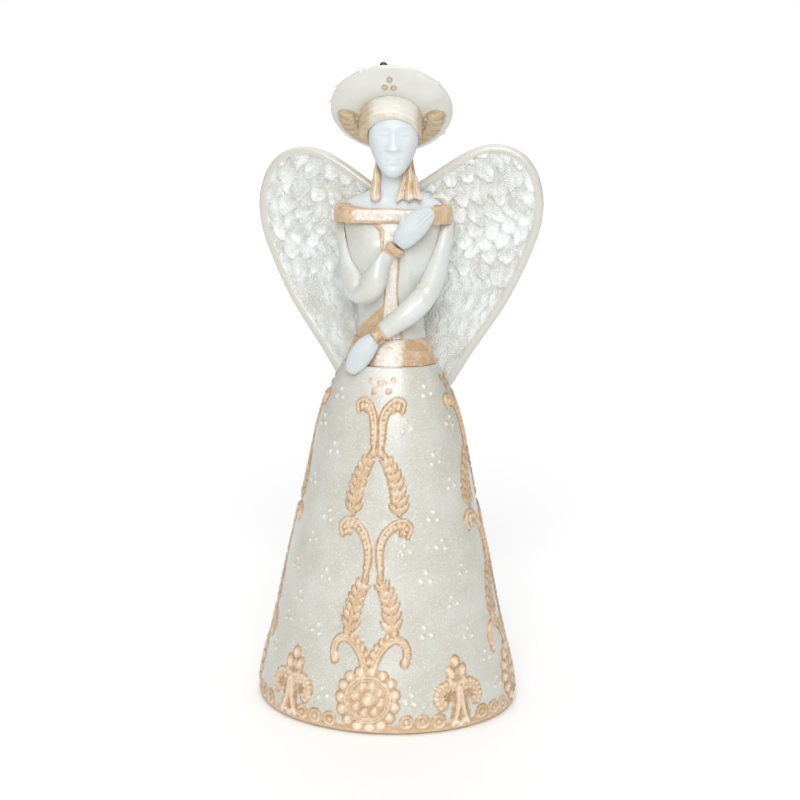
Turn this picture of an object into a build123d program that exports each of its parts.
from build123d import *
import math
import os

# Standing angel figurine, cast in resin as separate pieces and glued up over steel dowels.
# Millimetres. +Z is up, the figure faces -Y, and its own right arm is on the -X side.
# The origin is the centre of the felt pad's underside.

# ---- driving dimensions -------------------------------------------------------------------
HEM_HALF_WIDTH = 44.4          # half of the hem across X
DEPTH_RATIO = 0.88             # the skirt's depth over its width
FELT_THICKNESS = 1.0
HEM_LIFT = 0.6                 # the hem clears the table by this much
SKIRT_WALL = 4.0
PLATE_THICKNESS = 3.0
GLUE_GAP = 0.1                 # clearance left for glue round a spigot

SKIRT_TOP = 117.0              # where the skirt casting ends, under the sash
SASH_TOP = 125.6
BODICE_TOP = 166.5
BAND_BOTTOM = 163.4            # off-shoulder collar band
BAND_TOP = 169.6
NECK_TOP = 184.0

HEAD_TURN = 9.0                # degrees the head turns towards its own left
NECK_AXIS_Y = 1.8              # where the neck's own upright axis stands
HAT_TILT = 42.0                # degrees the hat leans back
HAT_ROLL = 3.0                 # degrees the hat dips towards the figure's left
BRIM_RADIUS = 19.9
CROWN_RADIUS = 10.4
PIN_RADIUS = 1.25              # steel pins that tie the head and the wings on

HEADBAND_LOWEST = 189.8        # the headband stops here at the nape
WING_THICKNESS = 3.4
LEFT_WING_RISE = 1.7           # the left wing's top stands this much above the right one's
WING_SWEEP = 5.0               # degrees that each wing leans back towards its tip

# Skirt outline: (height, half width). The depth follows from DEPTH_RATIO.
SKIRT_PROFILE = [
    (HEM_LIFT, HEM_HALF_WIDTH - 0.5),
    (4.0, HEM_HALF_WIDTH - 0.3),
    (23.0, 40.3),
    (46.0, 35.3),
    (68.0, 30.4),
    (90.6, 25.6),
    (102.0, 22.6),
    (110.0, 19.4),
    (SKIRT_TOP, 16.3),
]

# Bodice sections: (height, half width, half depth, centre y).
BODICE_SECTIONS = [
    (SKIRT_TOP, 14.9, 12.6, 0.6),
    (SASH_TOP, 11.9, 9.4, 1.2),
    (131.0, 11.0, 8.4, 1.6),
    (139.0, 12.1, 8.8, 1.8),
    (149.0, 14.6, 10.0, 1.6),
    (157.0, 16.0, 9.8, 2.2),
    (BODICE_TOP, 16.6, 7.6, 3.4),
]
PANEL_MIDDLE_X = 1.2           # the front panel sits a little to the figure's left
SPIGOT_RADIUS = 6.0
SPIGOT_DEPTH = 12.0

# Neck and bare shoulders: (height, half width, half depth, centre y).
NECK_SECTIONS = [
    (BODICE_TOP, 16.2, 7.1, 3.4),
    (169.4, 16.4, 6.6, 3.5),
    (171.2, 14.2, 6.0, 3.5),
    (173.4, 9.4, 5.5, 3.4),
    (175.8, 5.9, 5.0, 3.0),
    (179.4, 4.5, 4.5, 2.2),
    (NECK_TOP, 4.3, 4.4, 1.8),
]

# Head, an egg that narrows to the chin: (height, half width, half depth, centre y).
HEAD_SECTIONS = [
    (178.7, 1.6, 1.8, -4.6),
    (180.2, 3.7, 4.3, -3.2),
    (183.2, 5.7, 6.8, -1.4),
    (187.6, 7.5, 8.6, 0.0),
    (193.0, 8.5, 9.4, 0.8),
    (198.5, 8.2, 8.7, 1.7),
    (203.0, 6.2, 6.6, 2.6),
    (206.0, 2.8, 3.0, 3.2),
]
HAT_CENTRE = (-0.9, 4.4, 198.5)  # where the brim meets the crown, on the hat's own axis

# Arms as (x, y, z, radius) along the middle of each sleeve, shoulder first.
RIGHT_ARM = [
    (-16.4, 3.4, 164.0, 2.7),
    (-15.6, 1.6, 157.0, 3.0),
    (-13.5, -2.2, 149.0, 3.4),
    (-9.8, -7.4, 141.0, 3.8),
    (-6.2, -10.9, 141.4, 4.0),
    (-2.0, -12.0, 148.6, 3.6),
    (3.0, -11.8, 155.4, 3.0),
]
LEFT_ARM = [
    (17.2, 3.4, 164.0, 2.7),
    (16.9, 1.6, 157.0, 3.1),
    (15.6, -2.0, 149.0, 3.6),
    (12.6, -6.6, 140.8, 4.0),
    (8.0, -9.8, 135.4, 4.0),
    (2.4, -11.2, 131.0, 3.5),
    (-2.2, -11.7, 127.6, 2.9),
]
CUFF_LENGTH = 2.6
CUFF_FLARE = 0.3

# Hands as (x, y, z, half width, half thickness) from wrist to fingertips.
RIGHT_HAND = [
    (4.2, -11.9, 157.0, 2.4, 1.9),
    (6.6, -11.8, 160.2, 3.9, 2.1),
    (9.8, -10.9, 163.8, 4.2, 2.0),
    (12.8, -9.6, 166.6, 3.2, 1.6),
    (14.7, -8.6, 168.1, 1.5, 1.0),
]
LEFT_HAND = [
    (-3.3, -12.1, 126.5, 2.3, 1.9),
    (-5.4, -12.8, 124.0, 3.5, 2.1),
    (-7.9, -13.4, 120.4, 3.8, 2.0),
    (-10.0, -13.8, 117.0, 2.9, 1.6),
    (-11.2, -13.9, 115.0, 1.5, 0.9),
]

# Outline of a wing in its own plane, as (out from the spine, height).
WING_OUTLINE = [
    (1.0, 172.0),
    (10.0, 176.9),
    (21.0, 184.0),
    (32.6, 187.8),
    (42.6, 184.4),
    (48.4, 174.4),
    (48.6, 162.0),
    (45.2, 151.6),
    (37.2, 135.0),
    (25.8, 117.8),
    (18.2, 105.6),
    (13.4, 101.0),
    (8.6, 104.6),
    (1.0, 120.0),
]
WING_ROOT_Y = 9.6

# Locks of hair down each side of the neck: (x, y, z, half width, half depth).
LEFT_LOCK = [
    (6.0, 5.6, 191.2, 1.2, 1.8),
    (5.0, 3.6, 184.8, 1.2, 1.9),
    (5.4, 1.2, 181.2, 1.7, 1.9),
    (5.7, -0.7, 177.4, 2.8, 1.8),
    (5.9, -2.5, 174.0, 4.0, 1.5),
    (6.2, -4.0, 171.0, 4.3, 0.9),
]
RIGHT_LOCK = [
    (-6.0, 5.6, 191.2, 1.2, 1.8),
    (-5.0, 3.6, 184.8, 1.1, 1.8),
    (-5.1, 1.2, 181.0, 1.1, 1.8),
    (-5.2, -0.6, 177.0, 1.6, 1.7),
    (-5.1, -2.4, 173.6, 2.1, 1.4),
    (-4.8, -4.0, 170.8, 2.1, 0.8),
]


def ellipse_at(height, half_width, half_depth, centre_y=0.0):
    """A flat ellipse at one height."""
    return Pos(0, centre_y, height) * Ellipse(half_width, half_depth)


def stacked(sections):
    """A solid lofted through ellipses given as (height, half width, half depth, centre y)."""
    return loft([ellipse_at(*section) for section in sections])


def skirt_body(shrink=0.0, lowest=HEM_LIFT, highest=SKIRT_TOP):
    """The skirt's outer form, or the same form a wall thickness smaller all round."""
    profile = [
        (height, half_width - shrink)
        for height, half_width in SKIRT_PROFILE
        if lowest <= height <= highest
    ]
    return loft([ellipse_at(height, a, a * DEPTH_RATIO) for height, a in profile])


def tube_along(stations):
    """A solid lofted through circles or ellipses set square to the line through the stations.

    A station is (x, y, z, half width) or (x, y, z, half width, half thickness), and the
    thickness is measured towards the figure's front.
    """
    faces = []
    last = len(stations) - 1
    for i, station in enumerate(stations):
        before = Vector(*stations[max(i - 1, 0)][:3])
        after = Vector(*stations[min(i + 1, last)][:3])
        along = (after - before).normalized()
        across = along.cross(Vector(0, -1, 0)).normalized()
        plane = Plane(origin=station[:3], x_dir=across, z_dir=along)
        half_width = station[3]
        half_thickness = station[4] if len(station) > 4 else half_width
        faces.append(plane * Ellipse(half_width, half_thickness))
    return loft(faces)


def largest(shape):
    """The biggest solid of a shape, which drops the crumbs a cut can leave."""
    return max(shape.solids(), key=lambda solid: solid.volume)


def trimmed(shape, others):
    """The shape with its neighbours cut away, as one solid."""
    for other in others:
        shape = shape - other
    return largest(shape)


# ---- skirt and base -----------------------------------------------------------------------
def make_skirt():
    cavity_top = 102.0
    outer = skirt_body()
    cavity = skirt_body(SKIRT_WALL, HEM_LIFT, cavity_top)
    socket_height = SKIRT_TOP - cavity_top + 1
    socket = Pos(0, 0, cavity_top - 1) * Cylinder(
        SPIGOT_RADIUS + GLUE_GAP, socket_height, align=(Align.CENTER, Align.CENTER, Align.MIN)
    )
    return outer - cavity - socket


def make_base_plate():
    """The disc that closes the skirt, cut to the slope of its inner wall."""
    slab = extrude(
        ellipse_at(FELT_THICKNESS, HEM_HALF_WIDTH, HEM_HALF_WIDTH), PLATE_THICKNESS
    )
    return skirt_body(SKIRT_WALL + GLUE_GAP) & slab


def make_felt_pad():
    half_width = SKIRT_PROFILE[0][1] - SKIRT_WALL - 0.8
    return extrude(ellipse_at(0, half_width, half_width * DEPTH_RATIO), FELT_THICKNESS)


# ---- torso --------------------------------------------------------------------------------
def make_pins():
    """Steel pins: one up the neck, and four from the back into the wings."""
    neck_pin = Pos(0, 2.6, 158) * Cylinder(
        PIN_RADIUS, 32, align=(Align.CENTER, Align.CENTER, Align.MIN)
    )
    wing_pins = [
        Pos(side * x, 8.0, z) * Rot(90, 0, 0) * Cylinder(PIN_RADIUS, 8.4)
        for side in (-1, 1)
        for x, z in ((6.5, 161.0), (5.5, 145.0))
    ]
    return neck_pin, wing_pins


def bodice_form(stand=0.0):
    """The bodice, or the same form standing a little proud of it."""
    return stacked([(z, a + stand, b + stand, y) for z, a, b, y in BODICE_SECTIONS])


def make_bodice(pins):
    spigot = Pos(0, 0, SKIRT_TOP) * Cylinder(
        SPIGOT_RADIUS, SPIGOT_DEPTH, align=(Align.CENTER, Align.CENTER, Align.MAX)
    )
    return bodice_form() + spigot - pins


def make_chest_panel(bodice):
    """A thin raised panel down the front, wide at the collar and narrow under the bust."""
    stand, middle = 0.5, PANEL_MIDDLE_X
    half_widths = [
        (BAND_BOTTOM, 7.2), (161.2, 4.2), (155.0, 3.2), (141.0, 2.2), (SASH_TOP + 0.2, 4.2)
    ]
    right_edge = [(middle - half, height) for height, half in half_widths]
    left_edge = [(middle + half, height) for height, half in reversed(half_widths)]
    outline = Polyline(*right_edge, *left_edge, close=True)
    prism = extrude(Plane.XZ * make_face(outline), 30)
    return largest(bodice_form(stand) & prism) - bodice


def make_sash(bodice):
    stand = 0.9
    low, high = BODICE_SECTIONS[0], BODICE_SECTIONS[1]
    outer = stacked([
        (low[0], low[1] + stand, low[2] + stand, low[3]),
        (121.0, 13.4 + stand, 11.0 + stand, 0.9),
        (high[0], high[1] + stand * 0.6, high[2] + stand * 0.6, high[3]),
    ])
    return outer - bodice


def make_neck(pins):
    return stacked(NECK_SECTIONS) - pins


def make_shoulder_band(bodice, neck):
    """The off-shoulder collar, which runs round the chest, both upper arms and the back."""
    blank = extrude(Pos(0, 3.2, BAND_BOTTOM) * RectangleRounded(39.4, 18.6, 8.4),
                    BAND_TOP - BAND_BOTTOM)
    blank = fillet(blank.edges().group_by(Axis.Z)[-1], 1.6)
    return largest(blank - bodice - neck)


# ---- arms ---------------------------------------------------------------------------------
def make_sleeve(stations, *others):
    return trimmed(tube_along(stations), others)


def make_cuff(stations, *others):
    """A short flared band over the end of a sleeve."""
    before, end = Vector(*stations[-2][:3]), Vector(*stations[-1][:3])
    along = (end - before).normalized()
    radius = stations[-1][3] + CUFF_FLARE
    rings = [
        Plane(origin=tuple(end + along * CUFF_LENGTH * step), z_dir=along) * Circle(radius)
        for step in (-0.4, 0.6)
    ]
    return trimmed(loft(rings), others)


# ---- head and hat -------------------------------------------------------------------------
def with_head(shape):
    """Turns a shape with the head, about the neck's axis."""
    return shape.rotate(Axis((0, NECK_AXIS_Y, 0), (0, 0, 1)), HEAD_TURN)


def hat_plane():
    """The brim's plane: its normal points from the brim up and back into the crown."""
    tilt, roll = math.radians(HAT_TILT), math.radians(HAT_ROLL)
    across = (math.cos(roll), 0, -math.sin(roll))
    up = Vector(0, math.sin(tilt), math.cos(tilt))
    normal = up - Vector(*across) * up.dot(Vector(*across))
    return Plane(origin=HAT_CENTRE, x_dir=across, z_dir=tuple(normal))


def turned(outline):
    """A solid of revolution on the hat's axis, from an outline of (radius, height)."""
    return with_head(hat_plane() * revolve(Plane.XZ * make_face(outline), Axis.Z))


def make_brim(head, pin):
    """A ring whose edge curls up towards the crown."""
    inner, half = 8.2, 0.9
    curl = 3.2
    under = Spline((inner, -half), (13.5, -0.7), (17.6, 0.5), (BRIM_RADIUS, curl - 1.4))
    edge = ThreePointArc(under @ 1, (BRIM_RADIUS + 0.3, curl - 0.5), (BRIM_RADIUS - 0.9, curl))
    over = Spline(edge @ 1, (17.0, 2.2), (13.2, 1.1), (inner, half))
    inside = Line(over @ 1, under @ 0)
    return largest(turned([under, edge, over, inside]) - head - pin)


def make_crown(head):
    """The dome behind the brim."""
    base, height = 1.2, 8.8
    side = Line((CROWN_RADIUS, base), (CROWN_RADIUS - 0.3, 4.0))
    top = Spline(side @ 1, (7.8, 7.5), (0, height))
    axis = Line(top @ 1, (0, base))
    foot = Line(axis @ 1, side @ 0)
    return largest(turned([side, top, axis, foot]) - head)


def make_headband(brim, head, neck):
    """The fitted band between the brim and the forehead."""
    top, depth, inner = -0.9, -9.2, 7.2
    outer = Spline((CROWN_RADIUS, top), (CROWN_RADIUS, -4.6), (9.8, depth))
    rim = Line(outer @ 1, (inner, depth))
    inside = Line(rim @ 1, (inner, top))
    roof = Line(inside @ 1, outer @ 0)
    nape = Pos(0, 0, HEADBAND_LOWEST) * Box(
        60, 60, 30, align=(Align.CENTER, Align.CENTER, Align.MAX)
    )
    return largest(turned([outer, rim, inside, roof]) - nape - brim - head - neck)


def make_hat_pin():
    """A bead-headed pin pushed into the brim near its highest point."""
    foot = Vector(-3.4, -(BRIM_RADIUS - 2.2), 1.6)
    shank_length = 3.2
    shank = Pos(*foot) * Cylinder(0.4, shank_length, align=(Align.CENTER, Align.CENTER, Align.MIN))
    bead = Pos(*foot) * Pos(0, 0, shank_length) * Sphere(1.25)
    return with_head(hat_plane() * (shank + bead))


# ---- wings --------------------------------------------------------------------------------
def wing_blank(rise):
    """A left wing before it is trimmed against the body; rise lifts its upper edge."""
    lowest = min(height for _, height in WING_OUTLINE)
    highest = max(height for _, height in WING_OUTLINE)
    outline = [
        (out, height + rise * (height - lowest) / (highest - lowest))
        for out, height in WING_OUTLINE
    ]
    edge = Spline(*outline)
    root = Line(edge @ 1, edge @ 0)
    back = WING_ROOT_Y + WING_THICKNESS
    slab = extrude(Plane.XZ.offset(-back) * make_face([edge, root]), WING_THICKNESS)
    return slab.rotate(Axis((0, WING_ROOT_Y, 0), (0, 0, 1)), WING_SWEEP)


# ---- assembly -----------------------------------------------------------------------------
def build():
    parts = {}
    neck_pin, wing_pins = make_pins()
    pins = [neck_pin, *wing_pins]

    bodice = make_bodice(pins)
    neck = make_neck(pins)
    panel = make_chest_panel(bodice)
    band = make_shoulder_band(bodice, neck)
    skirt = make_skirt()
    sash = make_sash(bodice) - panel

    right_sleeve = make_sleeve(RIGHT_ARM, bodice, band, panel)
    left_sleeve = make_sleeve(LEFT_ARM, bodice, band, panel, sash)
    right_cuff = make_cuff(RIGHT_ARM, right_sleeve, bodice, panel)
    left_cuff = make_cuff(LEFT_ARM, left_sleeve, bodice, panel, sash)
    torso = [bodice, neck, band, panel, sash, right_sleeve, left_sleeve, right_cuff, left_cuff]

    head = with_head(stacked(HEAD_SECTIONS)) - neck - neck_pin
    hat_pin = make_hat_pin()
    brim = make_brim(head, hat_pin)

    parts["skirt_shell"] = skirt
    parts["base_plate"] = make_base_plate()
    parts["felt_pad"] = make_felt_pad()
    parts["bodice"] = bodice
    parts["chest_panel"] = panel
    parts["waist_sash"] = sash
    parts["neck_and_shoulders"] = neck
    parts["shoulder_band"] = band
    parts["right_sleeve"] = right_sleeve
    parts["left_sleeve"] = left_sleeve
    parts["right_cuff"] = right_cuff
    parts["left_cuff"] = left_cuff
    parts["right_hand"] = trimmed(tube_along(RIGHT_HAND), torso)
    parts["left_hand"] = trimmed(tube_along(LEFT_HAND), [*torso, skirt])
    parts["head"] = head
    parts["hat_brim"] = brim
    parts["hat_crown"] = make_crown(head)
    parts["headband"] = make_headband(brim, head, neck)
    parts["hat_pin"] = hat_pin
    lock_neighbours = [neck, band, head, parts["headband"]]
    parts["left_hair_lock"] = trimmed(tube_along(LEFT_LOCK), lock_neighbours)
    parts["right_hair_lock"] = trimmed(tube_along(RIGHT_LOCK), lock_neighbours)
    behind = [bodice, neck, band, sash, skirt, *wing_pins]
    right_blank = mirror(wing_blank(0.0), about=Plane.YZ)
    parts["left_wing"] = trimmed(wing_blank(LEFT_WING_RISE), [*behind, left_sleeve])
    parts["right_wing"] = trimmed(right_blank, [*behind, right_sleeve])
    parts["neck_pin"] = neck_pin
    parts["wing_pins"] = Compound(children=wing_pins)
    return parts


def main():
    os.makedirs("parts", exist_ok=True)
    for name, part in build().items():
        export_step(part, f"parts/{name}.step")


main()
